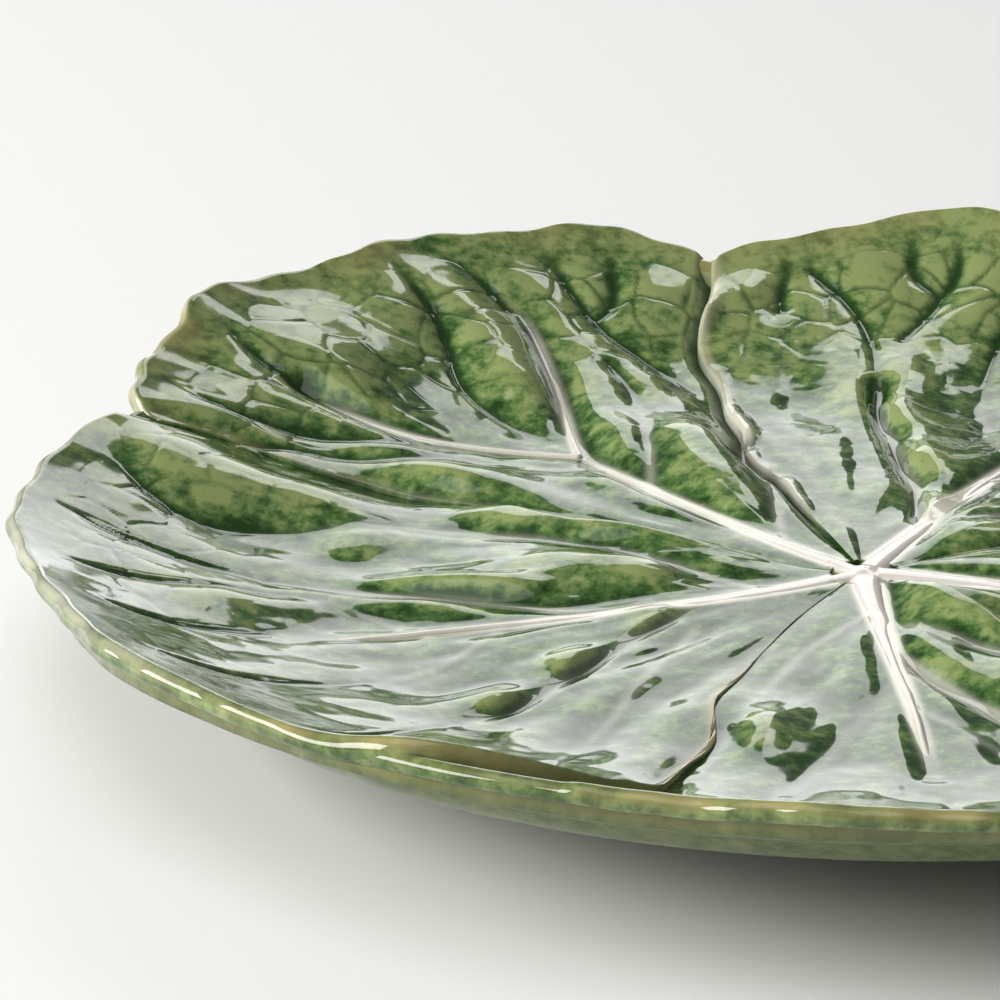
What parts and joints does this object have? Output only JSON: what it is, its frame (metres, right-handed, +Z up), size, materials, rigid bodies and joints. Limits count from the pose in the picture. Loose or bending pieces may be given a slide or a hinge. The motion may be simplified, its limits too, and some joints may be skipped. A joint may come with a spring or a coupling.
{
  "type": "cabbage leaf plate",
  "caption": "Round serving plate in the form of a cabbage leaf, with lapped green lobes, pale raised midribs and a foot ring.",
  "frame": {"origin": "on the table under the centre of the plate's outline, at the middle of the foot ring's sole", "axes": "+Z up through the well; +Y towards the back lobe that rises highest behind the hub; +X to the right"},
  "size_m": [0.2594, 0.2684, 0.0324],
  "materials": {
    "leaf_glaze": "gloss glaze",
    "rib_glaze": "gloss glaze",
    "under_glaze": "gloss glaze",
    "foot_biscuit": "unglazed"
  },
  "bodies": {
    "root": {"leaf_lobe_back_left": "leaf_glaze", "leaf_lobe_left": "leaf_glaze", "leaf_lobe_front": "leaf_glaze", "leaf_lobe_right": "leaf_glaze", "leaf_lobe_back": "leaf_glaze", "midrib_back_left": "rib_glaze", "midrib_left": "rib_glaze", "midrib_front": "rib_glaze", "midrib_right": "rib_glaze", "midrib_back": "rib_glaze", "rib_hub": "rib_glaze", "under_dish": "under_glaze", "foot_ring": "foot_biscuit"}
  },
  "joints": []
}
